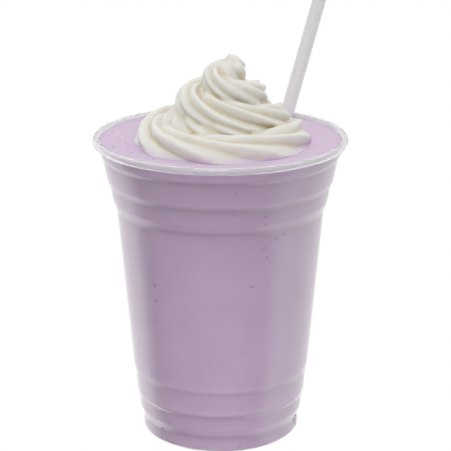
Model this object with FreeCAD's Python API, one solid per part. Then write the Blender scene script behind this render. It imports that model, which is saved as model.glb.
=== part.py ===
"""Taro frappe in a clear cold-drink cup, with a piped swirl of whipped cream and a straw.

Millimetres, +Z up. The origin is the centre of the cup's foot, on the surface that the cup stands on.
The rope of cream starts its coils at +X, and the straw leans back and to the right, towards +X and +Y.
"""

import FreeCAD, Part
import Mesh
import math
import os
from FreeCAD import Vector

# ---- Cup: driving dimensions ----
CUP_HEIGHT = 119.0
RIM_RADIUS = 49.0
BASE_RADIUS = 30.94         # the upright band round the base
WALL = 0.5
ROLL_RADIUS = 1.5           # the rolled lip's section
ROLL_LAP_DEG = 40.0         # how far the roll turns back in under the lip
FOOT_CORNER = 1.2
FOOT_WIDTH = 3.2            # the flat ring that the cup stands on
FOOT_SLOPE = 1.0            # run of the slope from the foot ring up to the floor
FLOOR_LIFT = 1.6            # how far the floor is pushed up above the foot
FLOOR_THICKNESS = 0.6

# Steps in the wall: (lower end, upper end, how much wider the cup gets there beyond its draft).
# The first group is measured up from the foot, the second down from the rim.
BASE_STEP = (5.43, 9.41, 0.92)
STEPS_FROM_FOOT = [BASE_STEP, (14.64, 15.98, 0.49), (24.58, 26.98, 0.39)]
STEPS_FROM_RIM = [(28.39, 24.39, 1.15), (24.39, 18.62, 0.55), (18.62, 16.16, 0.86), (16.16, 7.8, 0.86), (7.8, 6.1, 0.75)]
STEP_ROUND = 2.5            # rounding of the steps' corners, or less where a step is short
SIDE_SHARE = 0.45           # the most of a short side that a corner's rounding may take

# Upright ribs on the base band
RIB_COUNT = 6
RIB_FIRST_DEG = -77.0
RIB_WIDTH = 1.2
RIB_PROUD = 0.45
RIB_FOOT_GAP = 1.0          # the ribs start this far above the foot's corner

# ---- Drink ----
HEADROOM = 2.0              # from the drink's surface up to the rim

# ---- Straw ----
STRAW_DIAMETER = 5.5
STRAW_WALL = 0.25
STRAW_LENGTH = 197.0
STRAW_BEARING_DEG = 50.64   # from +X, where it comes up through the drink's surface
STRAW_WALL_GAP = 2.21       # from its side to the cup's inside, at the drink's surface
STRAW_AT_FLOOR = (-7.5, 0.0)        # where its axis meets its lower end
STRAW_FLOOR_GAP = 0.3

# ---- Whipped cream: one fluted rope, coiled from the drink's surface to the tip ----
CREAM_WALL_GAP = 10.16      # from the widest coil's rope to the cup's inside, at the drink's surface
# (turns down from the tip, radius of the coil, height over the drink, radius of the rope).
# The coils' radii are those for the widest coil given here, and all spread or draw in with it.
COILS = [
    (0.25, 2.6, 25.6, 3.4),
    (0.75, 3.6, 24.2, 5.2),
    (1.25, 11.0, 17.2, 6.2),
    (1.75, 11.4, 14.0, 6.9),
    (2.25, 18.0, 6.2, 7.6),
    (2.75, 25.2, 1.6, 8.6),
    (3.00, 27.0, 0.2, 8.8),
    (3.25, 25.6, 0.6, 8.4),
    (3.60, 24.5, -0.5, 5.0),
]
# The pulled tip: (x, height over the drink, radius), bent over towards -X
TIP = [(4.2, 24.0, 4.4), (6.0, 25.9, 4.6), (7.0, 27.8, 4.0), (6.3, 29.6, 3.3), (5.0, 31.2, 2.7), (3.5, 32.4, 2.1)]
# The filled middle that the coils lie on: (radius, height over the drink)
CORE = [(24.0, 0.0), (22.0, 4.0), (15.0, 9.0), (9.0, 16.0), (5.0, 22.0), (2.0, 26.0)]
ROPE_FLUTES = 6
FLUTE_DEPTH = 0.30          # share of the rope's radius
FLUTE_TWIST = 1.05          # turns of the section for each turn of the coil
LEAN_BASE = 0.5             # how far the swirl's axis stands off the cup's axis, towards +X
LEAN_TOP = 3.0
LEAN_HEIGHT = 35.0
CREAM_REACH = 60.0          # beyond the farthest point of the swirl, seen from the middle of its base
FACETS_ROUND = 72
FACETS_UP = 52
MARCH_STEP = 0.4
HALVINGS = 12
TIP_SPHERES_PER_SPAN = 4

DRINK_LEVEL = CUP_HEIGHT - HEADROOM
ROLL_CENTRE_R = RIM_RADIUS - ROLL_RADIUS
ROLL_CENTRE_Z = CUP_HEIGHT - ROLL_RADIUS
NECK_RADIUS = ROLL_CENTRE_R - ROLL_RADIUS + WALL
WIDEST_COIL = max(COILS, key=lambda row: row[1] + row[3])


def point(r, z):
    """A point of a profile in the XZ plane."""
    return Vector(r, 0, z)


def wall_steps():
    """Every step of the wall from the foot up, as (lower z, upper z, widening)."""
    upper = [(CUP_HEIGHT - low, CUP_HEIGHT - high, widening) for low, high, widening in STEPS_FROM_RIM]
    return STEPS_FROM_FOOT + upper


def wall_outline():
    """The wall's outer (r, z) points from the foot's corner up to the neck.

    The draft is whatever takes the wall from the base band to the neck once the steps have widened it.
    """
    steps = wall_steps()
    bottom = BASE_STEP[0]
    widened = sum(step[2] for step in steps)
    draft = (NECK_RADIUS - BASE_RADIUS - widened) / (ROLL_CENTRE_Z - bottom)
    points = [(BASE_RADIUS, FOOT_CORNER), (BASE_RADIUS, bottom)]
    total = 0.0
    for low, high, widening in steps:
        for z, extra in ((low, 0.0), (high, widening)):
            if z > points[-1][1]:
                points.append((BASE_RADIUS + draft * (z - bottom) + total + extra, z))
        total += widening
    return points + [(NECK_RADIUS, ROLL_CENTRE_Z)]


def inside_wall(top):
    """The wall's inner (r, z) points from the foot's corner up to the height top, which is in the neck."""
    points = [(r - WALL, z) for r, z in wall_outline()]
    low, high = points[-2:]
    share = (top - low[1]) / (high[1] - low[1])
    return points[:-1] + [(low[0] + share * (high[0] - low[0]), top)]


def surface_radius():
    """The cup's inside radius where the drink's surface meets it."""
    return inside_wall(DRINK_LEVEL)[-1][0]


def rounded(points):
    """The edges of a path of (r, z) points, with each corner rounded by an arc that both its sides run into."""
    edges = []
    start = points[0]
    for before, corner, after in zip(points, points[1:], points[2:]):
        arrive = Vector(corner[0] - before[0], 0, corner[1] - before[1])
        leave = Vector(after[0] - corner[0], 0, after[1] - corner[1])
        turn = arrive.getAngle(leave)
        cut = min(STEP_ROUND * math.tan(turn / 2), SIDE_SHARE * min(arrive.Length, leave.Length))
        arrive.normalize()
        leave.normalize()
        first = point(*corner) - arrive * cut
        last = point(*corner) + leave * cut
        crown = point(*corner) + (leave - arrive).normalize() * cut * math.tan(turn / 4)
        edges.append(Part.LineSegment(point(*start), first).toShape())
        edges.append(Part.Arc(first, crown, last).toShape())
        start = (last.x, last.z)
    return edges + [line(start, points[-1])]


def line(a, b):
    return Part.LineSegment(point(*a), point(*b)).toShape()


def arc(centre, radius, from_deg, to_deg):
    """An arc in the XZ plane; angles are measured from +X towards +Z."""
    ends = []
    for degrees in (from_deg, (from_deg + to_deg) / 2, to_deg):
        turn = math.radians(degrees)
        ends.append(point(centre[0] + radius * math.cos(turn), centre[1] + radius * math.sin(turn)))
    return Part.Arc(*ends).toShape()


def polyline(points):
    return [line(a, b) for a, b in zip(points, points[1:])]


def revolve(edges):
    """The solid that a closed profile makes round the Z axis."""
    face = Part.Face(Part.Wire(Part.sortEdges(edges)[0]))
    return face.revolve(Vector(0, 0, 0), Vector(0, 0, 1), 360)


def inner_floor():
    """The cup's inside from the axis to the wall, as (r, z) points up to the inner foot corner's start."""
    foot_inner = BASE_RADIUS - FOOT_CORNER - FOOT_WIDTH
    rise = FLOOR_LIFT + FLOOR_THICKNESS
    return [(0, rise), (foot_inner - FOOT_SLOPE + WALL / 2, rise), (foot_inner + WALL / 2, WALL), (BASE_RADIUS - FOOT_CORNER, WALL)]


def inner_profile_edges(top):
    """Edges of the cup's inside from the axis at the floor, out and up to the height top."""
    corner = (BASE_RADIUS - FOOT_CORNER, FOOT_CORNER)
    return polyline(inner_floor()) + [arc(corner, FOOT_CORNER - WALL, -90, 0)] + rounded(inside_wall(top))


def make_cup():
    foot_outer = BASE_RADIUS - FOOT_CORNER
    foot_inner = foot_outer - FOOT_WIDTH
    edges = polyline([(0, FLOOR_LIFT), (foot_inner - FOOT_SLOPE, FLOOR_LIFT), (foot_inner, 0), (foot_outer, 0)])
    edges.append(arc((foot_outer, FOOT_CORNER), FOOT_CORNER, -90, 0))
    edges += rounded(wall_outline())
    edges += rolled_lip()
    edges += inner_profile_edges(ROLL_CENTRE_Z)
    edges.append(line((0, FLOOR_LIFT + FLOOR_THICKNESS), (0, FLOOR_LIFT)))
    return revolve(edges).fuse(make_ribs()).removeSplitter().Solids[0]


def rolled_lip():
    """The lip's section: the wall goes up, over and outwards, and turns back in under itself."""
    centre = (ROLL_CENTRE_R, ROLL_CENTRE_Z)
    end_deg = -90 - ROLL_LAP_DEG
    turn = math.radians(end_deg)
    radii = (ROLL_RADIUS - WALL, ROLL_RADIUS)
    end = [(centre[0] + r * math.cos(turn), centre[1] + r * math.sin(turn)) for r in radii]
    return [arc(centre, radii[0], 180, end_deg), line(*end), arc(centre, radii[1], end_deg, 180)]


def make_ribs():
    """The upright ribs on the base band, from above the foot's corner up into the base step."""
    low = FOOT_CORNER + RIB_FOOT_GAP
    rib = Part.makeBox(WALL / 2 + RIB_PROUD, RIB_WIDTH, BASE_STEP[0] + RIB_PROUD - low)
    rib.translate(Vector(BASE_RADIUS - WALL / 2, -RIB_WIDTH / 2, low))
    ribs = []
    for k in range(RIB_COUNT):
        copy = rib.copy()
        copy.rotate(Vector(0, 0, 0), Vector(0, 0, 1), RIB_FIRST_DEG + 360.0 * k / RIB_COUNT)
        ribs.append(copy)
    return ribs


def straw_axis():
    """The straw's lower end and its direction."""
    floor = FLOOR_LIFT + FLOOR_THICKNESS
    reach = surface_radius() - STRAW_WALL_GAP - STRAW_DIAMETER / 2
    bearing = math.radians(STRAW_BEARING_DEG)
    surface = Vector(reach * math.cos(bearing), reach * math.sin(bearing), DRINK_LEVEL)
    run = math.hypot(surface.x - STRAW_AT_FLOOR[0], surface.y - STRAW_AT_FLOOR[1])
    tilt = math.atan2(run, DRINK_LEVEL - floor)
    # a square-cut end tips down by this much on its low side
    low = floor + STRAW_FLOOR_GAP + STRAW_DIAMETER / 2 * math.sin(tilt)
    start = Vector(STRAW_AT_FLOOR[0], STRAW_AT_FLOOR[1], low)
    return start, (surface - start).normalize()


def make_straw():
    start, direction = straw_axis()
    outside = Part.makeCylinder(STRAW_DIAMETER / 2, STRAW_LENGTH, start, direction)
    bore = Part.makeCylinder(STRAW_DIAMETER / 2 - STRAW_WALL, STRAW_LENGTH, start, direction)
    return outside.cut(bore).Solids[0]


def make_drink(straw):
    """The drink fills the cup up to its level, round and inside the straw."""
    edges = inner_profile_edges(DRINK_LEVEL)
    edges += polyline([inside_wall(DRINK_LEVEL)[-1], (0, DRINK_LEVEL), (0, FLOOR_LIFT + FLOOR_THICKNESS)])
    return revolve(edges).cut(straw).Solids[0]


def coil_value(turns, column):
    """A column of COILS at this many turns down from the tip, on a smooth curve through the rows."""
    last = len(COILS) - 1
    if turns <= COILS[0][0]:
        return COILS[0][column]
    if turns >= COILS[last][0]:
        return COILS[last][column]
    i = max(k for k in range(last) if COILS[k][0] <= turns)
    before, start, end, after = (COILS[min(max(i + k, 0), last)] for k in (-1, 0, 1, 2))
    span = end[0] - start[0]
    t = (turns - start[0]) / span
    leave = (end[column] - before[column]) / (end[0] - before[0]) * span
    arrive = (after[column] - start[column]) / (after[0] - start[0]) * span
    square, cube = t * t, t * t * t
    return (
        (2 * cube - 3 * square + 1) * start[column]
        + (cube - 2 * square + t) * leave
        + (3 * square - 2 * cube) * end[column]
        + (cube - square) * arrive
    )


def coil_spread():
    """How much wider than in COILS the coils lie, so that the widest one keeps its gap to the cup."""
    return (surface_radius() - CREAM_WALL_GAP - WIDEST_COIL[3]) / WIDEST_COIL[1]


def rope_radius(turns, angle):
    """The rope's radius at an angle round its section, which the star nozzle leaves fluted."""
    flute = ROPE_FLUTES * (angle + 2 * math.pi * FLUTE_TWIST * turns) / 2
    return coil_value(turns, 3) * (1 - FLUTE_DEPTH * (1 - abs(math.cos(flute))))


def lean(height):
    """How far the swirl's axis stands towards +X at this height over the drink."""
    share = min(max(height / LEAN_HEIGHT, 0.0), 1.0)
    return LEAN_BASE + (LEAN_TOP - LEAN_BASE) * share ** 1.5


def core_radius(height):
    for (r0, z0), (r1, z1) in zip(CORE, CORE[1:]):
        if z0 <= height <= z1:
            return coil_spread() * (r0 + (r1 - r0) * (height - z0) / (z1 - z0))
    return 0.0


def tip_spheres():
    """Spheres along the pulled tip, as (x from the leaning axis, height, radius)."""
    spheres = []
    for start, end in zip(TIP, TIP[1:]):
        for k in range(TIP_SPHERES_PER_SPAN):
            t = k / TIP_SPHERES_PER_SPAN
            x, z, r = (a + (b - a) * t for a, b in zip(start, end))
            spheres.append((x - lean(z), z, r))
    x, z, r = TIP[-1]
    return spheres + [(x - lean(z), z, r)]


def passes(azimuth):
    """Each pass of the rope through the half plane at this azimuth, as (side, turns, coil radius, height).

    side is -1 for a pass that belongs to the opposite half plane and may reach over the axis.
    """
    found = []
    for side, extra in ((1, 0.0), (-1, 0.5)):
        turns = COILS[0][0] + azimuth / (2 * math.pi) + extra
        while turns > COILS[0][0]:
            turns -= 1
        while turns <= COILS[-1][0]:
            if turns >= COILS[0][0]:
                found.append((side, turns, coil_spread() * coil_value(turns, 1), coil_value(turns, 2)))
            turns += 1
    return found


def in_cream(r, z, azimuth, rope, spheres):
    """Whether the point at radius r and height z over the drink, in this half plane, is cream."""
    if r <= core_radius(z):
        return True
    for side, turns, coil, height in rope:
        across, up = side * r - coil, z - height
        if math.hypot(across, up) <= rope_radius(turns, math.atan2(up, across)):
            return True
    x, y = r * math.cos(azimuth), r * math.sin(azimuth)
    return any((x - sx) ** 2 + y * y + (z - sz) ** 2 <= sr * sr for sx, sz, sr in spheres)


def cream_distance(azimuth, elevation, rope, spheres):
    """How far the cream reaches from the middle of its base in this direction."""
    def is_in(distance):
        return in_cream(distance * math.cos(elevation), distance * math.sin(elevation), azimuth, rope, spheres)

    distance = CREAM_REACH
    while distance > MARCH_STEP and not is_in(distance):
        distance -= MARCH_STEP
    inside, outside = distance, distance + MARCH_STEP
    for _ in range(HALVINGS):
        middle = (inside + outside) / 2
        if is_in(middle):
            inside = middle
        else:
            outside = middle
    return inside


def make_cream():
    """The swirl as a closed faceted solid: rings of points up from the drink's surface to the tip."""
    spheres = tip_spheres()
    rings = []
    for i in range(FACETS_UP):
        elevation = math.pi / 2 * i / FACETS_UP
        ring = []
        for j in range(FACETS_ROUND):
            azimuth = 2 * math.pi * j / FACETS_ROUND
            reach = cream_distance(azimuth, elevation, passes(azimuth), spheres)
            r, z = reach * math.cos(elevation), reach * math.sin(elevation)
            ring.append(Vector(r * math.cos(azimuth) + lean(z), r * math.sin(azimuth), DRINK_LEVEL + z))
        rings.append(ring)
    peak = cream_distance(0.0, math.pi / 2, passes(0.0), spheres)
    top = Vector(lean(peak), 0, DRINK_LEVEL + peak)
    middle = Vector(LEAN_BASE, 0, DRINK_LEVEL)
    triangles = []
    for j in range(FACETS_ROUND):
        k = (j + 1) % FACETS_ROUND
        triangles.append((middle, rings[0][k], rings[0][j]))
        triangles.append((top, rings[-1][j], rings[-1][k]))
        for lower, upper in zip(rings, rings[1:]):
            triangles.append((lower[j], lower[k], upper[k]))
            triangles.append((lower[j], upper[k], upper[j]))
    shape = Part.Shape()
    shape.makeShapeFromMesh(Mesh.Mesh(triangles).Topology, 0.001)
    return Part.Solid(Part.Shell(shape.Faces))


def main():
    os.makedirs("parts", exist_ok=True)
    straw = make_straw()
    nodes = {
        "cup": make_cup(),
        "frappe": make_drink(straw),
        "whipped_cream": make_cream(),
        "straw": straw,
    }
    for name, shape in nodes.items():
        print(f"{name}: {len(shape.Solids)} solid, valid {shape.isValid()}, {shape.Volume / 1000:.2f} cm3")
        shape.exportStep(f"parts/{name}.step")


main()
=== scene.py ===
"""Looks of the taro frappe: clear cup, lilac blended drink, piped whipped cream and a straw.

Metres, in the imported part's frame: +Z up, with the cup's foot centred on the origin. The swirl of whipped
cream is worked out in millimetres over the drink's level.
"""

import math
import random

import bmesh
import bpy
import numpy as np
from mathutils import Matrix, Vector, noise


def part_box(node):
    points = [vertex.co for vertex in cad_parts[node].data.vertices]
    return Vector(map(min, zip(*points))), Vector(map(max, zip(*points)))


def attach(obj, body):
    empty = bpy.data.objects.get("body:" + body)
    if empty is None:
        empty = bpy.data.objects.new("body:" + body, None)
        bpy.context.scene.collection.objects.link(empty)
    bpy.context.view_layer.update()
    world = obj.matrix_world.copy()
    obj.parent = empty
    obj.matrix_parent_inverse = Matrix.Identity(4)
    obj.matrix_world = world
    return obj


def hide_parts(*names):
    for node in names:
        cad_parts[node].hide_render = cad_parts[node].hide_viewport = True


MM = 0.001

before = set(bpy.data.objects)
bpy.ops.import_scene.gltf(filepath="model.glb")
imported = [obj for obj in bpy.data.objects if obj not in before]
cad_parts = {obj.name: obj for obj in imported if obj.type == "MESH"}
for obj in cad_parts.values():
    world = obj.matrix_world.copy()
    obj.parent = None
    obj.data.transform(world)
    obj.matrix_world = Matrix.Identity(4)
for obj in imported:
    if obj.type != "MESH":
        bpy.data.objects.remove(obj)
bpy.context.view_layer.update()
ROOT = "root"

# ---- Where things are, from the frame ----
CUP_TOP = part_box("cup")[1].z
DRINK_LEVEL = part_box("frappe")[1].z

# ---- Drink ----
WALL_REACH = 0.18 * MM      # how far the drink reaches into the cup's wall
WALL_LEAST_RADIUS = 28 * MM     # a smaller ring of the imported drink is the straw's or lies on the underside
RING_POINTS = 24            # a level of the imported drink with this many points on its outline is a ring
RING_NEAR = 1e-5            # a point is on the outline when it is this near the widest one
DRINK_SEGMENTS = 192
TOP_RINGS = 110
TOP_CROWDING = 1.25         # over 1, the rings of the surface lie closer together near the wall
WALL_RINGS = 260
FLOOR_SHARES = (0.5, 0.9, 1.0)  # the rings of the drink's underside, as shares of its foot's radius
MENISCUS_HEIGHT = 0.7 * MM
MENISCUS_WIDTH = 1.1 * MM
RIPPLE = 0.22 * MM          # unevenness of the drink's surface
RIPPLE_SCALE = 90.0         # its turns per metre
FINE_RIPPLE = 0.5           # a finer unevenness, as a share of the broad one
FINE_RIPPLE_SCALE = 2.3     # its turns for each of the broad one's
RIPPLE_ROW = 0.3            # where each of the two is read in the noise
FINE_RIPPLE_ROW = 0.9

# ---- Painted shade on the drink under each ring of the cup's wall, and a painted highlight on each ring ----
PROFILE_STEP = 0.1 * MM
PROFILE_ENDS = 2.0 * MM     # no ring is looked for this near the drink's foot or its level
CORNER_REACH = 0.7 * MM     # a bend of the wall is measured over this far up and down
CORNER_LEAST = 0.10         # a bend outward by this slope or more is a ring's lower edge
CORNER_GAP = 2.0 * MM       # two rings lie at least this far apart
RING_RISE = 1.1 * MM        # the shade is deepest this far above the lower edge, on the ring's sloping face
# the drink under each ring is painted darker: painted shade, not shade cast by the lamps
RING_SHADE = 0.75           # how much darker the drink looks there, for each unit of the bend
RING_SHADE_MOST = 0.15
RING_SHADE_FADE = 2.6 * MM  # the shade fades downward over this height
RING_EDGE = 0.45 * MM       # and upward over this one
# the drink on each ring is painted lighter: a painted highlight
RING_GLEAM = 0.05           # how much brighter the drink looks on the ring
RING_GLEAM_RISE = 1.6 * MM

# ---- Bubbles ----
BUBBLE_SEED = 7
BLISTER_SPOKES = 10
BLISTER_STEPS = 4
WALL_BUBBLES = 170
WALL_BUBBLE_RADIUS = (0.12 * MM, 0.34 * MM)
WALL_BUBBLE_LEVELS = (0.06, 0.97)       # shares of the drink's level
WALL_BUBBLE_RISE = 0.12 * MM            # how far a bubble stands out
WALL_BUBBLE_SEAT = 0.9                  # its place, as a share of how far the drink reaches into the wall
SURFACE_BUBBLES = 16
SURFACE_BUBBLE_RADIUS = (0.20 * MM, 0.40 * MM)
SURFACE_BUBBLE_PLACES = (0.78, 0.985)   # shares of the drink's radius
SURFACE_BUBBLE_RISE = 0.10 * MM
SURFACE_BUBBLE_SINK = 0.02 * MM
# the larger ones on the wall: (degrees from the front towards +X, height, radius), millimetres
LARGE_WALL_BUBBLES = [
    (31, 88.4, 0.70), (36, 89.3, 0.60), (18, 70.0, 0.60), (7, 108.5, 0.50), (6, 99.5, 0.50),
    (-41, 68.0, 0.60), (-41, 61.5, 0.55), (-44, 52.0, 0.50), (23, 98.0, 0.50), (24, 94.5, 0.50),
    (24, 85.0, 0.45), (26, 81.0, 0.45),
]
# the larger ones on the surface: (x, y, radius), millimetres
LARGE_SURFACE_BUBBLES = [
    (-38.5, -1.0, 0.50), (-36.0, -5.0, 0.55), (-40.5, -11.0, 0.70), (-35.0, -10.5, 0.45),
    (-33.5, -18.0, 0.60), (-24.5, -29.0, 0.60),
]

# ---- Whipped cream: coils close to the part's own, with finer flutes and lumps ----
# (turns down from the tip, radius of the coil, height over the drink, radius of the rope), millimetres
COILS = [
    (0.25, 2.6, 25.6, 3.4),
    (0.75, 3.5, 25.0, 5.5),
    (1.25, 11.0, 17.2, 6.2),
    (1.75, 11.2, 15.5, 7.4),
    (2.25, 18.4, 7.4, 7.9),
    (2.75, 25.2, 1.6, 8.6),
    (3.00, 27.0, 0.2, 8.8),
    (3.25, 25.6, 0.6, 8.4),
    (3.60, 24.5, -0.5, 5.0),
]
ROPE_RINGS = 620
ROPE_POINTS = 96
ROPE_FLUTES = 7
FLUTE_DEPTH = 0.30          # a share of the rope's radius
FLUTE_TWIST = 1.05          # turns of the flutes round the rope for each turn of the coil
FLUTE_DRIFT = 0.3           # radians that the flutes wander to either side
DRIFT_CHANGE = 2.5          # how fast they do
RIDGE_SHARPNESS = 0.7       # 0 for round ridges, 1 for straight-sided ones
VALLEY_SPREAD = 0.9         # how much the valleys differ in depth
VALLEY_CHANGE = 1.6         # how fast that changes along the rope
VALLEY_APART = 3.7          # how far apart two valleys are read in the noise
VALLEY_ROW = 5.3            # where all of them are read in it
ROPE_SPREAD = 0.03          # how much the rope's thickness varies
ROPE_CHANGE = 5.0           # how fast it varies, and where it is read in the noise
ROPE_ROW = 1.7
ROPE_ROUGHNESS = 0.012      # a share of the rope's radius
ROUGH_CHANGE = 60.0         # how fast the roughness changes along the rope, and round it
ROUGH_ROUND = 4
LEAN_BASE = 0.5             # the swirl's axis stands this far towards +X at the drink, millimetres
LEAN_TOP = 3.0              # and this far at LEAN_HEIGHT
LEAN_HEIGHT = 35.0
LEAN_EASE = 1.5             # over 1, it leans more near the top
# (height, place along X, half its width) of the pulled top, from its foot to its peak, millimetres
TIP = [
    (22.5, 1.6, 7.6),
    (25.0, 1.7, 8.2),
    (27.3, 2.3, 8.2),
    (28.9, 2.9, 7.4),
    (30.2, 3.4, 6.0),
    (31.2, 4.4, 3.7),
    (32.2, 4.6, 2.6),
    (32.9, 4.2, 1.7),
    (33.6, 3.4, 0.7),
]
TIP_RINGS = 70
TIP_POINTS = 90
TIP_FLUTES = 6
TIP_DEPTH = 0.25
TIP_TWIST = 0.22            # turns of the flutes from the top's peak to its foot
TIP_EASE = 1.5              # over 1, most of that twist is near the foot
# (height, radius) of the filled middle, millimetres
CORE = [(-0.9, 24.0), (4.0, 24.6), (9.4, 23.3), (13.0, 18.3), (18.0, 13.2), (23.0, 8.2), (27.0, 3.0)]
CORE_RINGS = 60
CORE_POINTS = 160
CORE_FLUTES = 13
CORE_DEPTH = 0.10
CORE_TWIST = 0.45           # turns of its flutes from its foot to its top
CREAM_SINK = 0.9            # the rope goes down to this far under the drink's level, millimetres
CREAM_VOXEL = 0.43 * MM
CREAM_SMOOTHING = 0.5       # how far a point moves towards its neighbours' average, and how often
CREAM_SMOOTHINGS = 2
LUMPS = [(140.0, 0.36 * MM), (420.0, 0.14 * MM)]    # (turns per metre, depth) of the cream's unevenness
FOOT_HEIGHT = 2.0 * MM      # below this the cream's foot spreads on the drink
FOOT_SPREAD = 1.0 * MM
FLAT_LEAST = 0.3            # a normal that points sideways by less than this spreads the foot less
CREASE_SPREADS = 14         # how many times a place is averaged with its neighbours, to find the creases
CREASE_RANGE = 1.0 * MM     # from crease to ridge: from half of this under that average to half above it

# ---- Colours and finish ----
WALL_TINT = (0.96, 0.96, 0.965)
LIP_TINT = (0.83, 0.825, 0.835)
LIP_HEIGHTS = (CUP_TOP - 3.5 * MM, CUP_TOP - 2.0 * MM)  # between them the wall's look becomes the lip's
MILK = (0.80, 0.79, 0.81)   # the colour of the plastic's milkiness, and how much of it shows
MILK_WALL = 0.03            # in the wall
MILK_LIP = 0.22             # in the lip
MILK_GRAZING = 0.06         # where the eye looks along the surface
GRAZING = (0.1, 0.9)        # from facing the plastic to looking along it
SHADOW_TINT = (0.89, 0.885, 0.895)      # what the plastic lets through of a lamp's light
PLASTIC_WAVES = dict(scale=70.0, depth=0.25 * MM, strength=0.35, detail=1.0)

DRINK_DARK = (0.456, 0.352, 0.468)
DRINK_LIGHT = (0.479, 0.372, 0.491)
# the surface is paler foam, and is also painted lighter for the light that falls on it from above: foam
# colour and painted light
TOPLIT_FOAM_DARK = (0.655, 0.525, 0.675)
TOPLIT_FOAM_LIGHT = (0.690, 0.555, 0.715)
TOPLIT_FOAM_HEIGHTS = (DRINK_LEVEL - 1.5 * MM, DRINK_LEVEL - 0.3 * MM)     # the drink turns to foam between them
CLOUDS = dict(scale=60.0, detail=3.0)
DRINK_SWELL = dict(scale=160.0, depth=0.2 * MM, strength=0.5)
DRINK_FROTH = dict(scale=900.0, depth=0.03 * MM, strength=0.5)
BUBBLE_SPECKS = dict(scale=900.0)
# the bubbles' darker lilac is painted shade in and round each air bubble
BUBBLE_SHADE_DARK = (0.29, 0.195, 0.32)
BUBBLE_SHADE_LIGHT = (0.35, 0.25, 0.38)

# from crease (0) to ridge (1): the darker, warmer colours in the creases are painted shade
CREAM_CREASE_SHADE_STOPS = [(0.0, (0.72, 0.61, 0.36)), (0.3, (0.765, 0.72, 0.60)), (0.6, (0.775, 0.765, 0.725))]
CREAM_LUMPS = dict(scale=620.0, depth=0.2 * MM, strength=0.6, detail=3.0, roughness=0.6)
CREAM_GRAIN = dict(scale=1800.0, depth=0.03 * MM)
# the drink's tint at the cream's foot is its own colour; its darker colour in the creases is painted shade
FOOT_CREASE_SHADE_STOPS = [(0.0, (0.74, 0.62, 0.74)), (1.0, (0.80, 0.70, 0.79))]
FOOT_TINT = (0.2 * MM, 2.2 * MM)    # between these heights over the drink its tint in the cream fades out
FOOT_TINT_EDGE = 0.7 * MM           # how uneven that edge is
FOOT_UNEVEN = dict(scale=260.0)

STRAW_TINT = (0.95, 0.93, 0.94)
STRAW_WAVES = dict(scale=300.0, depth=0.05 * MM, strength=0.3)

# ---- Studio ----
FLOOR_HALF = 3.0
FLOOR_GLOW = 1.0
# (name, place, the point it faces, width, height, watts, whether it shows in reflections)
LAMPS = [
    ("key", (-0.12, -0.55, 0.95), (0, 0, 0.1), 0.4, 0.4, 3.0, True),
    ("low_front", (0.02, -0.155, 0.005), (0, 0, 0.01), 0.14, 0.02, 0.08, False),
]
RIGHT, BACK, UP = (1, 0, 0), (0, 1, 0), (0, 0, 1)
SKY_SIDE = 0.53             # the sky's light from the sides, and what is added towards each direction
SKY_GAINS = [(BACK, 0.06), (RIGHT, 0.06), (UP, 0.22)]
OVERHEAD = 0.07
OVERHEAD_FOCUS = 3.0
PANEL_STARTS = (-0.36, 0.18)    # the pale panels in reflections begin between these shares of the way back
PANEL_NEARER_RIGHT = 0.35       # and nearer to the camera on the right
PANEL_MIDDLE = 2.1              # their brightness
PANEL_RIGHT = -0.25             # and how it changes to the right
BEHIND_LOSS = 0.70              # how much of it is gone straight behind the cup
BEHIND_FOCUS = 3.0
DARK_SIDE = 0.12                # the brightness of the camera's side

# ---- Camera: metres and radians, and millimetres for the sensor and the lens ----
CAMERA_DISTANCE = 0.6039
CAMERA_HEIGHT = 0.2733
CAMERA_DOWN = 0.306
CAMERA_TURN = 0.0032        # to the right, so that the cup stands a little left of the middle
CAMERA_NEAREST = 0.01
SENSOR = 36.0
LENS = 129.6


# ---- Meshes ----

def new_object(name, data):
    piece = bpy.data.objects.new(name, data)
    bpy.context.scene.collection.objects.link(piece)
    return piece


def mesh_from(name, points, faces):
    mesh = bpy.data.meshes.new(name)
    mesh.from_pydata([tuple(p) for p in points], [], faces)
    mesh.update()
    return mesh


def shade_smooth(mesh):
    mesh.polygons.foreach_set("use_smooth", [True] * len(mesh.polygons))
    mesh.update()


def bridge(faces, first, second, count):
    """Quads between two closed rings of count points that start at these indices."""
    for j in range(count):
        k = (j + 1) % count
        faces.append((first + j, first + k, second + k, second + j))


def tube_faces(rings, count, turned):
    """The sides and both end caps of a tube through rings + 1 closed rings of count points.

    The cap at the ring with the index turned, 0 or rings, lists its points backward, so that it faces out.
    """
    faces = []
    for i in range(rings):
        bridge(faces, i * count, (i + 1) * count, count)
    for i in (0, rings):
        cap = [i * count + j for j in range(count)]
        faces.append(tuple(reversed(cap) if i == turned else cap))
    return faces


def values_of(mesh, what):
    """The vertices' places ("co") or normals ("normal") as rows of three numbers."""
    values = np.empty(len(mesh.vertices) * 3)
    mesh.vertices.foreach_get(what, values)
    return values.reshape(-1, 3)


def store(mesh, name, values):
    """Stores one number for each vertex, for a material to read."""
    mesh.attributes.new(name, "FLOAT", "POINT").data.foreach_set("value", values)


# ---- Materials ----

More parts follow.
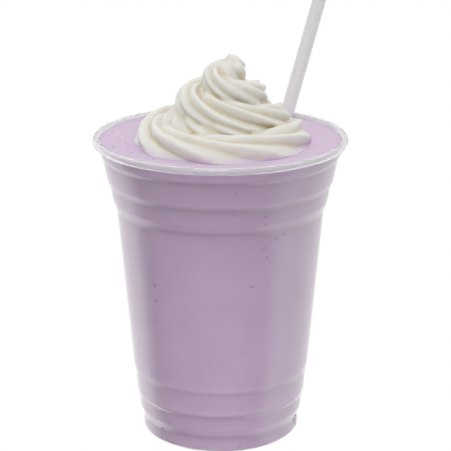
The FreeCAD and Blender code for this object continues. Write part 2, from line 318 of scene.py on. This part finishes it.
class Nodes:
    """Short ways to add nodes to one node tree and to link them."""

    def __init__(self, tree):
        self.nodes = tree.nodes
        self.links = tree.links

    def add(self, kind, **values):
        """A new node. Lower-case names are its settings, the others its inputs, with _ for each space."""
        node = self.nodes.new(kind)
        for name, value in values.items():
            if name.islower():
                setattr(node, name, value)
            else:
                node.inputs[name.replace("_", " ")].default_value = value
        return node

    def link(self, source, target):
        self.links.new(source, target)

    def fill(self, slots, sources):
        """Gives each slot its source, which is a socket to link or a plain value."""
        for slot, source in zip(slots, sources):
            if isinstance(source, bpy.types.NodeSocket):
                self.link(source, slot)
            else:
                slot.default_value = source

    def math(self, operation, *inputs):
        node = self.add("ShaderNodeMath", operation=operation)
        self.fill(node.inputs, inputs)
        return node.outputs["Value"]

    def dot(self, direction, axis):
        node = self.add("ShaderNodeVectorMath", operation="DOT_PRODUCT")
        self.fill(node.inputs, (direction, axis))
        return node.outputs["Value"]

    def map(self, source, wide, narrow, kind="LINEAR"):
        """Maps the range wide of source to the range narrow, clamped."""
        node = self.add("ShaderNodeMapRange", interpolation_type=kind)
        slots = [node.inputs[name] for name in ("Value", "From Min", "From Max", "To Min", "To Max")]
        self.fill(slots, (source, *wide, *narrow))
        return node.outputs["Result"]

    def mix(self, share, first, second):
        """A mix of two shaders; share is how much of it is the second."""
        node = self.add("ShaderNodeMixShader")
        self.fill(node.inputs, (share, first, second))
        return node.outputs["Shader"]


class Shader(Nodes):
    """A material with one Principled shader."""

    def __init__(self, name):
        self.material = bpy.data.materials.new(name)
        self.material.use_nodes = True
        super().__init__(self.material.node_tree)
        self.main = self.nodes["Principled BSDF"]
        self.output = self.nodes["Material Output"]

    def set(self, **values):
        """Sets inputs of the Principled shader to values that are the same all over."""
        for name, value in values.items():
            self.main.inputs[name.replace("_", " ")].default_value = value

    def feed(self, name, source):
        self.link(source, self.main.inputs[name])

    def stored(self, name):
        """The number that the mesh stores for each vertex under this name."""
        return self.add("ShaderNodeAttribute", attribute_name=name).outputs["Fac"]

    def place(self):
        return self.add("ShaderNodeTexCoord").outputs["Object"]

    def height(self):
        """The height over the floor."""
        split = self.add("ShaderNodeSeparateXYZ")
        self.link(self.place(), split.inputs[0])
        return split.outputs["Z"]

    def noise(self, scale, detail=2.0, roughness=0.5):
        """Noise over the object, scale in turns per metre."""
        texture = self.add("ShaderNodeTexNoise", Scale=scale, Detail=detail, Roughness=roughness)
        self.link(self.place(), texture.inputs["Vector"])
        return texture.outputs["Fac"]

    def relief(self, scale, depth, strength=1.0, detail=2.0, roughness=0.5, after=None):
        """Bumps of noise, on top of those of after."""
        node = self.add("ShaderNodeBump", Strength=strength, Distance=depth)
        self.link(self.noise(scale, detail, roughness), node.inputs["Height"])
        if after is not None:
            self.link(after, node.inputs["Normal"])
        return node.outputs["Normal"]

    def ramp(self, source, stops):
        """A colour ramp over source; stops are (position, colour)."""
        node = self.add("ShaderNodeValToRGB")
        while len(node.color_ramp.elements) < len(stops):
            node.color_ramp.elements.new(0.5)
        for element, (position, colour) in zip(node.color_ramp.elements, stops):
            element.position = position
            element.color = (*colour, 1.0)
        self.link(source, node.inputs["Fac"])
        return node.outputs["Color"]

    def blend(self, share, first, second):
        """A mix of two colours; share is how much of it is the second."""
        node = self.add("ShaderNodeMix", data_type="RGBA")
        self.fill((node.inputs[0], node.inputs[6], node.inputs[7]), (share, first, second))
        return node.outputs[2]

    def dim(self, colour, painted_ring_tone):
        """A colour times a grey."""
        node = self.add("ShaderNodeVectorMath", operation="SCALE")
        self.fill((node.inputs["Vector"], node.inputs["Scale"]), (colour, painted_ring_tone))
        return node.outputs["Vector"]


def plastic_material():
    """Clear moulded plastic, a little milky in its rolled lip and where it is seen along its surface.

    Light from lamps passes it, so the drink behind it is lit.
    """
    s = Shader("clear_plastic")
    s.set(Roughness=0.07, IOR=1.46, Transmission_Weight=1.0)
    waves = s.relief(**PLASTIC_WAVES)
    s.feed("Normal", waves)
    milk = s.add("ShaderNodeBsdfPrincipled", Base_Color=(*MILK, 1), Roughness=0.25)
    s.link(waves, milk.inputs["Normal"])
    upper = s.map(s.height(), LIP_HEIGHTS, (0.0, 1.0))
    s.feed("Base Color", s.ramp(upper, [(0.0, WALL_TINT), (1.0, LIP_TINT)]))
    lip = s.map(upper, (0.0, 1.0), (MILK_WALL, MILK_LIP))
    edge = s.add("ShaderNodeLayerWeight", Blend=0.5)
    graze = s.map(edge.outputs["Facing"], GRAZING, (0.0, MILK_GRAZING))
    milky = s.mix(s.math("MAXIMUM", lip, graze), s.main.outputs["BSDF"], milk.outputs["BSDF"])
    clear = s.add("ShaderNodeBsdfTransparent", Color=(*SHADOW_TINT, 1))
    path = s.add("ShaderNodeLightPath")
    surface = s.mix(path.outputs["Is Shadow Ray"], milky, clear.outputs["BSDF"])
    s.link(surface, s.output.inputs["Surface"])
    return s.material


def drink_material():
    """Blended drink: cloudy lilac; paler where its surface is foam, painted lighter there also for the light
    from above; and darkened by the painted shade stored under the cup's rings.
    """
    s = Shader("taro_drink")
    s.set(Roughness=0.6, Specular_IOR_Level=0.15, Subsurface_Weight=0.25, Subsurface_Scale=2.5 * MM)
    s.set(Subsurface_Radius=(1.0, 0.8, 1.0))
    clouds = s.noise(**CLOUDS)
    # the stored tone paints shade under each ring of the wall and a highlight on it
    body = s.dim(s.ramp(clouds, [(0.3, DRINK_DARK), (0.7, DRINK_LIGHT)]), s.stored("painted_ring_tone"))
    # foam colour, painted lighter also for the light from above
    toplit_foam = s.ramp(clouds, [(0.3, TOPLIT_FOAM_DARK), (0.7, TOPLIT_FOAM_LIGHT)])
    s.feed("Base Color", s.blend(s.map(s.height(), TOPLIT_FOAM_HEIGHTS, (0.0, 1.0)), body, toplit_foam))
    s.feed("Normal", s.relief(**DRINK_FROTH, after=s.relief(**DRINK_SWELL)))
    return s.material


# air bubbles painted darker than the drink: painted shade
def bubble_material():
    s = Shader("taro_bubble")
    s.set(Roughness=0.35, Specular_IOR_Level=0.4)
    s.feed("Base Color", s.ramp(s.noise(**BUBBLE_SPECKS), [(0.35, BUBBLE_SHADE_DARK), (0.65, BUBBLE_SHADE_LIGHT)]))
    return s.material


def cream_material():
    """Whipped cream: painted shade makes it darker and warmer in its creases and whitest on its ridges; it is
    tinted by the drink at its foot.
    """
    s = Shader("whipped_cream")
    s.set(Roughness=0.38, Specular_IOR_Level=0.4, Subsurface_Weight=1.0, Subsurface_Scale=3.0 * MM)
    s.set(Subsurface_Radius=(1.0, 0.92, 0.8))
    crease = s.stored("crease")
    uneven = s.map(s.noise(**FOOT_UNEVEN), (0.3, 0.7), (-FOOT_TINT_EDGE, FOOT_TINT_EDGE))
    edges = [DRINK_LEVEL + height for height in FOOT_TINT]
    clean = s.map(s.math("ADD", s.height(), uneven), edges, (0.0, 1.0), "SMOOTHSTEP")
    # the creases are painted darker and warmer: painted shade
    s.feed("Base Color", s.blend(clean, s.ramp(crease, FOOT_CREASE_SHADE_STOPS), s.ramp(crease, CREAM_CREASE_SHADE_STOPS)))
    s.feed("Normal", s.relief(**CREAM_GRAIN, after=s.relief(**CREAM_LUMPS)))
    return s.material


def straw_material():
    s = Shader("straw_plastic")
    s.set(Base_Color=(*STRAW_TINT, 1), Roughness=0.3, Alpha=0.5, Specular_IOR_Level=0.45)
    s.feed("Normal", s.relief(**STRAW_WAVES))
    return s.material


def floor_material():
    s = Shader("pale_floor")
    s.set(Roughness=1.0, Specular_IOR_Level=0.0, Base_Color=(0, 0, 0, 1))
    s.set(Emission_Color=(1, 1, 1, 1), Emission_Strength=FLOOR_GLOW)
    return s.material


# ---- Drink ----

def drink_rings():
    """(radius, height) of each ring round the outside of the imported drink, from its foot up."""
    points = values_of(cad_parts["frappe"].data, "co")
    level = np.round(points[:, 2], 6)
    rings = []
    for height in np.unique(level):
        around = np.unique(np.round(points[level == height], 7), axis=0)
        reach = np.hypot(around[:, 0], around[:, 1])
        outer = reach.max()
        if outer > WALL_LEAST_RADIUS and (reach > outer - RING_NEAR).sum() >= RING_POINTS:
            rings.append((float(outer), float(height)))
    return rings


def drink_wall_radius(rings, height):
    """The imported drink's radius at this height."""
    return float(np.interp(height, [z for _, z in rings], [r for r, _ in rings]))


def ring_shades(rings):
    """(height, bend) of the painted shade under each ring of the wall, where the cup steps outward."""
    low, high = rings[0][1], rings[-1][1]
    heights = np.arange(low, high, PROFILE_STEP)
    up, here, down = (
        np.interp(heights + side, [z for _, z in rings], [r for r, _ in rings])
        for side in (CORNER_REACH, 0.0, -CORNER_REACH)
    )
    inside = (heights > low + PROFILE_ENDS) & (heights < high - PROFILE_ENDS)
    bend = np.where(inside, (up - 2 * here + down) / CORNER_REACH, 0.0)
    edges = []
    for k in np.argsort(-bend):
        if bend[k] < CORNER_LEAST:
            break
        if all(abs(heights[k] - z) > CORNER_GAP for z, _ in edges):
            edges.append((float(heights[k]), float(bend[k])))
    return [(height + RING_RISE, bent) for height, bent in edges]


def painted_ring_shade(shades, height):
    """How bright the drink is painted at this height of the wall: painted shade under each ring, and a
    painted highlight on it.
    """
    shade = gleam = 0.0
    for middle, bend in shades:
        under = max(middle - height, 0.0)
        rise = min(max(1 - (height - middle) / RING_EDGE, 0.0), 1.0)
        shade += min(RING_SHADE * bend, RING_SHADE_MOST) * rise * math.exp(-under / RING_SHADE_FADE)
        gleam += RING_GLEAM * math.exp(-(((height - middle - RING_GLEAM_RISE) / (2 * RING_EDGE)) ** 2))
    return 1 - shade + gleam


def surface_height(x, y, edge):
    """The drink's surface: nearly flat, a little uneven, and drawn up where it meets the cup."""
    gap = max(edge - math.hypot(x, y), 0.0)
    broad = noise.noise(Vector((x, y, RIPPLE_ROW)) * RIPPLE_SCALE)
    fine = noise.noise(Vector((x, y, FINE_RIPPLE_ROW)) * RIPPLE_SCALE * FINE_RIPPLE_SCALE)
    meniscus = MENISCUS_HEIGHT * math.exp(-gap / MENISCUS_WIDTH)
    return DRINK_LEVEL + RIPPLE * (broad + FINE_RIPPLE * fine) + meniscus


def build_drink(rings):
    """The drink as one closed shape that reaches just into the cup's wall and floor."""
    low, high = rings[0][1], rings[-1][1]
    edge = rings[-1][0] + WALL_REACH
    floor = low - WALL_REACH
    outline = [(rings[0][0] * share, floor) for share in FLOOR_SHARES]
    for i in range(WALL_RINGS):
        height = low + (high - low) * (i / WALL_RINGS)
        outline.append((drink_wall_radius(rings, height) + WALL_REACH, height))
    turns = [2 * math.pi * j / DRINK_SEGMENTS for j in range(DRINK_SEGMENTS)]
    circle = [(math.cos(t), math.sin(t)) for t in turns]
    points = [(0.0, 0.0, floor)]
    for r, z in outline:
        points += [(r * c, r * s, z) for c, s in circle]
    shades = ring_shades(rings)
    # painted shade and painted highlight of the cup's rings for each point of the wall; the surface's points
    # keep 1
    painted_ring_tone = [painted_ring_shade(shades, z) for _, _, z in points]
    for i in range(TOP_RINGS):
        r = edge * (1 - (i / TOP_RINGS) ** TOP_CROWDING)
        points += [(r * c, r * s, surface_height(r * c, r * s, edge)) for c, s in circle]
    points.append((0.0, 0.0, surface_height(0.0, 0.0, edge)))
    painted_ring_tone += [1.0] * (len(points) - len(painted_ring_tone))
    faces = []
    count = len(outline) + TOP_RINGS
    for i in range(count - 1):
        bridge(faces, 1 + i * DRINK_SEGMENTS, 1 + (i + 1) * DRINK_SEGMENTS, DRINK_SEGMENTS)
    last = 1 + (count - 1) * DRINK_SEGMENTS
    for j in range(DRINK_SEGMENTS):
        k = (j + 1) % DRINK_SEGMENTS
        faces.append((0, 1 + k, 1 + j))
        faces.append((last + j, last + k, len(points) - 1))
    mesh = mesh_from("blended_drink", points, faces)
    shade_smooth(mesh)
    store(mesh, "painted_ring_tone", painted_ring_tone)
    mesh.materials.append(drink_material())
    piece = new_object("blended_drink", mesh)
    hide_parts("frappe")
    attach(piece, ROOT)


# ---- Bubbles ----

def add_blister(points, faces, centre, out, radius, height):
    """A low round blister: rings of points on a flattened dome whose axis is out."""
    side = out.orthogonal().normalized()
    other = out.cross(side)
    start = len(points)
    for i in range(BLISTER_STEPS):
        angle = math.pi / 2 * i / BLISTER_STEPS
        flat, rise = radius * math.cos(angle), height * math.sin(angle)
        for j in range(BLISTER_SPOKES):
            turn = 2 * math.pi * j / BLISTER_SPOKES
            x, y = flat * math.cos(turn), flat * math.sin(turn)
            points.append(centre + side * x + other * y + out * rise)
    points.append(centre + out * height)
    points.append(centre.copy())
    for i in range(BLISTER_STEPS - 1):
        bridge(faces, start + i * BLISTER_SPOKES, start + (i + 1) * BLISTER_SPOKES, BLISTER_SPOKES)
    top = start + (BLISTER_STEPS - 1) * BLISTER_SPOKES
    for j in range(BLISTER_SPOKES):
        k = (j + 1) % BLISTER_SPOKES
        faces.append((top + j, top + k, len(points) - 2))
        faces.append((start + k, start + j, len(points) - 1))


def build_bubbles(rings):
    """Tiny air bubbles in the drink: against the cup's wall, and broken at the surface."""
    rand = random.Random(BUBBLE_SEED)
    points, faces = [], []
    edge = rings[-1][0]
    on_wall = [(math.radians(turn - 90), z * MM, radius * MM) for turn, z, radius in LARGE_WALL_BUBBLES]
    for _ in range(WALL_BUBBLES):
        turn, level = rand.uniform(0, 2 * math.pi), rand.uniform(*WALL_BUBBLE_LEVELS)
        on_wall.append((turn, DRINK_LEVEL * level, rand.uniform(*WALL_BUBBLE_RADIUS)))
    for turn, height, radius in on_wall:
        out = Vector((math.cos(turn), math.sin(turn), 0))
        wall = drink_wall_radius(rings, height) + WALL_REACH * WALL_BUBBLE_SEAT
        add_blister(points, faces, out * wall + Vector((0, 0, height)), out, radius, WALL_BUBBLE_RISE)
    on_surface = [(x * MM, y * MM, radius * MM) for x, y, radius in LARGE_SURFACE_BUBBLES]
    for _ in range(SURFACE_BUBBLES):
        turn, reach = rand.uniform(0, 2 * math.pi), edge * rand.uniform(*SURFACE_BUBBLE_PLACES)
        radius = rand.uniform(*SURFACE_BUBBLE_RADIUS)
        on_surface.append((reach * math.cos(turn), reach * math.sin(turn), radius))
    for x, y, radius in on_surface:
        place = Vector((x, y, surface_height(x, y, edge) - SURFACE_BUBBLE_SINK))
        add_blister(points, faces, place, Vector((0, 0, 1)), radius, SURFACE_BUBBLE_RISE)
    mesh = mesh_from("air_bubbles", points, faces)
    shade_smooth(mesh)
    mesh.materials.append(bubble_material())
    piece = new_object("air_bubbles", mesh)
    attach(piece, ROOT)


# ---- Whipped cream ----

def along(rows, t, column):
    """A column of rows at place t, on a smooth curve through the rows.

    The first column holds each row's place, from the least to the greatest.
    """
    last = len(rows) - 1
    if t <= rows[0][0]:
        return rows[0][column]
    if t >= rows[last][0]:
        return rows[last][column]
    i = max(k for k in range(last) if rows[k][0] <= t)
    before, start, end, after = (rows[min(max(i + k, 0), last)] for k in (-1, 0, 1, 2))
    span = end[0] - start[0]
    u = (t - start[0]) / span
    leave = (end[column] - before[column]) / (end[0] - before[0]) * span
    arrive = (after[column] - start[column]) / (after[0] - start[0]) * span
    square, cube = u * u, u * u * u
    return (
        (2 * cube - 3 * square + 1) * start[column]
        + (cube - 2 * square + u) * leave
        + (3 * square - 2 * cube) * end[column]
        + (cube - square) * arrive
    )


def lean(height):
    """How far the swirl's axis stands towards +X at this height over the drink, in millimetres."""
    share = min(max(height / LEAN_HEIGHT, 0.0), 1.0)
    return LEAN_BASE + (LEAN_TOP - LEAN_BASE) * share ** LEAN_EASE


def flute(angle, count, depth, t=0.0):
    """How much of its radius a star nozzle's rope keeps at this angle: round ridges with sharp valleys.

    Each valley has a depth of its own, which changes slowly along the rope.
    """
    valley = math.floor(count * angle / (2 * math.pi)) % count
    depth *= 1 + VALLEY_SPREAD * noise.noise(Vector((t * VALLEY_CHANGE, valley * VALLEY_APART, VALLEY_ROW)))
    ridge = abs(math.cos(count * angle / 2))
    straight = 1 - math.acos(min(ridge, 1.0)) / (math.pi / 2)
    return 1 - depth * (1 - ridge - RIDGE_SHARPNESS * (straight - ridge))


def rope_mesh():
    """The coiled rope, from under the tip to its end on the drink."""
    first, last = COILS[0][0], COILS[-1][0]
    points = []
    for i in range(ROPE_RINGS + 1):
        t = first + (last - first) * i / ROPE_RINGS
        coil, height, radius = (along(COILS, t, column) for column in (1, 2, 3))
        radius *= 1 + ROPE_SPREAD * noise.noise(Vector((t * ROPE_CHANGE, ROPE_ROW, 0.0)))
        turn = 2 * math.pi * (t - first)
        for j in range(ROPE_POINTS):
            angle = 2 * math.pi * j / ROPE_POINTS
            side, up = math.cos(angle), math.sin(angle)
            drift = FLUTE_DRIFT * noise.noise(Vector((t * DRIFT_CHANGE, side, up)))
            star = flute(angle + drift + 2 * math.pi * FLUTE_TWIST * t, ROPE_FLUTES, FLUTE_DEPTH, t)
            grain = noise.noise(Vector((t * ROUGH_CHANGE, ROUGH_ROUND * side, ROUGH_ROUND * up)))
            rough = 1 + ROPE_ROUGHNESS * grain
            r = coil + radius * star * rough * side
            z = max(height + radius * star * rough * up, -CREAM_SINK)
            points.append((r * math.cos(turn) + lean(z), r * math.sin(turn), z))
    return points, tube_faces(ROPE_RINGS, ROPE_POINTS, ROPE_RINGS)


def tip_mesh():
    """The pulled top: a fluted dome with a small peak, whose flutes turn the way the rope does."""
    foot, peak = TIP[0][0], TIP[-1][0]
    points = []
    for i in range(TIP_RINGS + 1):
        share = i / TIP_RINGS
        height = foot + (peak - foot) * share
        centre, reach = along(TIP, height, 1), along(TIP, height, 2)
        shift = 2 * math.pi * TIP_TWIST * (1 - share) ** TIP_EASE
        for j in range(TIP_POINTS):
            angle = 2 * math.pi * j / TIP_POINTS
            star = reach * flute(angle - shift, TIP_FLUTES, TIP_DEPTH)
            points.append((centre + star * math.cos(angle), star * math.sin(angle), height))
    return points, tube_faces(TIP_RINGS, TIP_POINTS, 0)


def core_mesh():
    """The filled middle that the coils lie on, with low flutes where it shows between them."""
    foot, top = CORE[0][0], CORE[-1][0]
    points = []
    for i in range(CORE_RINGS + 1):
        height = foot + (top - foot) * i / CORE_RINGS
        reach = along(CORE, height, 1)
        for j in range(CORE_POINTS):
            turn = 2 * math.pi * j / CORE_POINTS
            r = reach * flute(turn + 2 * math.pi * CORE_TWIST * i / CORE_RINGS, CORE_FLUTES, CORE_DEPTH)
            points.append((r * math.cos(turn) + lean(height), r * math.sin(turn), height))
    return points, tube_faces(CORE_RINGS, CORE_POINTS, 0)


def join_skin(points, faces):
    """One smooth skin round shapes that overlap."""
    rough = new_object("cream_rough", mesh_from("cream_rough", points, faces))
    joined = rough.modifiers.new("joined", "REMESH")
    joined.mode = "VOXEL"
    joined.voxel_size = CREAM_VOXEL
    softened = rough.modifiers.new("softened", "SMOOTH")
    softened.factor = CREAM_SMOOTHING
    softened.iterations = CREAM_SMOOTHINGS
    bpy.context.view_layer.update()
    evaluated = rough.evaluated_get(bpy.context.evaluated_depsgraph_get())
    mesh = bpy.data.meshes.new_from_object(evaluated)
    bpy.data.objects.remove(rough)
    return mesh


def keep_largest(mesh):
    """Deletes every separate shell but the largest, such as one round a hollow inside."""
    work = bmesh.new()
    work.from_mesh(mesh)
    unseen = set(work.verts)
    shells = []
    while unseen:
        stack = [unseen.pop()]
        shell = list(stack)
        while stack:
            for edge in stack.pop().link_edges:
                for vertex in edge.verts:
                    if vertex in unseen:
                        unseen.remove(vertex)
                        stack.append(vertex)
                        shell.append(vertex)
        shells.append(shell)
    shells.sort(key=len)
    spare = [vertex for shell in shells[:-1] for vertex in shell]
    bmesh.ops.delete(work, geom=spare, context="VERTS")
    work.to_mesh(mesh)
    work.free()


def roughen(mesh):
    """Gives the smooth swirl small lumps, and a foot that spreads a little on the drink."""
    place, normal = values_of(mesh, "co"), values_of(mesh, "normal")
    lump = [sum(depth * noise.noise(Vector(point) * scale) for scale, depth in LUMPS) for point in place]
    low = np.clip(1 - (place[:, 2] - DRINK_LEVEL) / FOOT_HEIGHT, 0.0, 1.0)
    flat = normal * (1, 1, 0)
    flat /= np.maximum(np.linalg.norm(flat, axis=1), FLAT_LEAST)[:, None]
    place += normal * np.array(lump)[:, None] + flat * (FOOT_SPREAD * low ** 2)[:, None]
    mesh.vertices.foreach_set("co", place.ravel())
    mesh.update()


def mark_creases(mesh):
    """Stores for each vertex how far it stands out from its surroundings: 0 in a crease, 1 on a ridge. The
    cream's material paints shade into the creases from it.
    """
    count = len(mesh.vertices)
    place, normal = values_of(mesh, "co"), values_of(mesh, "normal")
    ends = np.empty(len(mesh.edges) * 2, dtype=np.int64)
    mesh.edges.foreach_get("vertices", ends)
    a, b = ends.reshape(-1, 2).T
    degree = np.bincount(a, minlength=count) + np.bincount(b, minlength=count)

    def spread(values):
        """Each vertex's value is replaced by its neighbours' average."""
        total = np.zeros_like(values)
        np.add.at(total, a, values[b])
        np.add.at(total, b, values[a])
        return total / degree.reshape(-1, *[1] * (values.ndim - 1))

    around = place
    for _ in range(CREASE_SPREADS):
        around = spread(around)
    stand = ((place - around) * normal).sum(axis=1)
    stand = spread(spread(stand))
    store(mesh, "crease", np.clip(0.5 + stand / CREASE_RANGE, 0.0, 1.0).astype(np.float32))


def build_cream():
    """The swirl: the rope, its core and its tip, joined into one skin."""
    points, faces = [], []
    for part_points, part_faces in (rope_mesh(), tip_mesh(), core_mesh()):
        start = len(points)
        points += part_points
        faces += [tuple(start + k for k in face) for face in part_faces]
    points = [(x * MM, y * MM, z * MM + DRINK_LEVEL) for x, y, z in points]
    mesh = join_skin(points, faces)
    mesh.name = "cream_swirl"
    keep_largest(mesh)
    shade_smooth(mesh)
    roughen(mesh)
    mark_creases(mesh)
    mesh.materials.clear()
    mesh.materials.append(cream_material())
    piece = new_object("cream_swirl", mesh)
    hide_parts("whipped_cream")
    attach(piece, ROOT)


# ---- Cup and straw, as packed ----

def dress(node, material):
    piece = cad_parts[node]
    piece.data.materials.clear()
    piece.data.materials.append(material)


# ---- Studio ----

def build_floor():
    corners = [(x * FLOOR_HALF, y * FLOOR_HALF, 0) for x, y in ((-1, -1), (1, -1), (1, 1), (-1, 1))]
    mesh = mesh_from("floor", corners, [(0, 1, 2, 3)])
    mesh.materials.append(floor_material())
    floor = new_object("floor", mesh)
    floor.visible_diffuse = False
    floor.visible_glossy = False


def build_lamp(name, place, target, width, height, power, shines):
    lamp = bpy.data.lights.new(name, "AREA")
    lamp.shape = "RECTANGLE"
    lamp.size, lamp.size_y = width, height
    lamp.energy = power
    piece = new_object(name, lamp)
    piece.location = place
    piece.rotation_euler = (Vector(target) - Vector(place)).to_track_quat("-Z", "Y").to_euler()
    piece.visible_camera = False
    piece.visible_transmission = False
    piece.visible_glossy = shines


def build_world():
    """A white studio. The background is plain white to the eye and through the clear plastic.

    As light it is a soft sky, brightest overhead. In reflections the two sides are bright, and the camera's
    side and what is straight behind are darker, which leaves a soft light band down each side of the cup.
    """
    world = bpy.data.worlds.new("studio")
    bpy.context.scene.world = world
    world.use_nodes = True
    w = Nodes(world.node_tree)

    def background(strength):
        node = w.add("ShaderNodeBackground", Color=(1, 1, 1, 1))
        w.fill([node.inputs["Strength"]], [strength])
        return node.outputs["Background"]

    direction = w.add("ShaderNodeTexCoord").outputs["Generated"]
    sky = SKY_SIDE
    for axis, gain in SKY_GAINS:
        sky = w.math("MULTIPLY_ADD", w.dot(direction, axis), gain, sky)
    overhead = w.math("POWER", w.math("MAXIMUM", w.dot(direction, UP), 0.0), OVERHEAD_FOCUS)
    sky = w.math("MAXIMUM", w.math("MULTIPLY_ADD", overhead, OVERHEAD, sky), 0.0)

    back, right = w.dot(direction, BACK), w.dot(direction, RIGHT)
    reach = w.math("MULTIPLY_ADD", right, PANEL_NEARER_RIGHT, back)
    panel = w.map(reach, PANEL_STARTS, (0.0, 1.0), "SMOOTHSTEP")
    bright = w.math("MULTIPLY_ADD", right, PANEL_RIGHT, PANEL_MIDDLE)
    behind = w.math("POWER", w.math("MAXIMUM", back, 0.0), BEHIND_FOCUS)
    left_over = w.math("MULTIPLY_ADD", behind, -BEHIND_LOSS, 1.0)
    shine = w.math("MULTIPLY_ADD", panel, w.math("MULTIPLY", bright, left_over), DARK_SIDE)

    path = w.add("ShaderNodeLightPath").outputs
    seen = w.math("MAXIMUM", path["Is Camera Ray"], path["Is Transmission Ray"])
    lit = w.mix(path["Is Glossy Ray"], background(sky), background(shine))
    w.link(w.mix(seen, lit, background(1.0)), w.nodes["World Output"].inputs["Surface"])


def build_camera():
    lens = bpy.data.cameras.new("camera")
    lens.sensor_width = SENSOR
    lens.lens = LENS
    lens.clip_start = CAMERA_NEAREST
    camera = new_object("camera", lens)
    camera.location = (0.0, -CAMERA_DISTANCE, CAMERA_HEIGHT)
    camera.rotation_euler = (math.pi / 2 - CAMERA_DOWN, 0.0, -CAMERA_TURN)
    bpy.context.scene.camera = camera


rings = drink_rings()
build_drink(rings)
build_bubbles(rings)
build_cream()
dress("cup", plastic_material())
dress("straw", straw_material())
build_floor()
build_world()
for lamp in LAMPS:
    build_lamp(*lamp)
build_camera()
bpy.context.scene.view_settings.view_transform = "Standard"
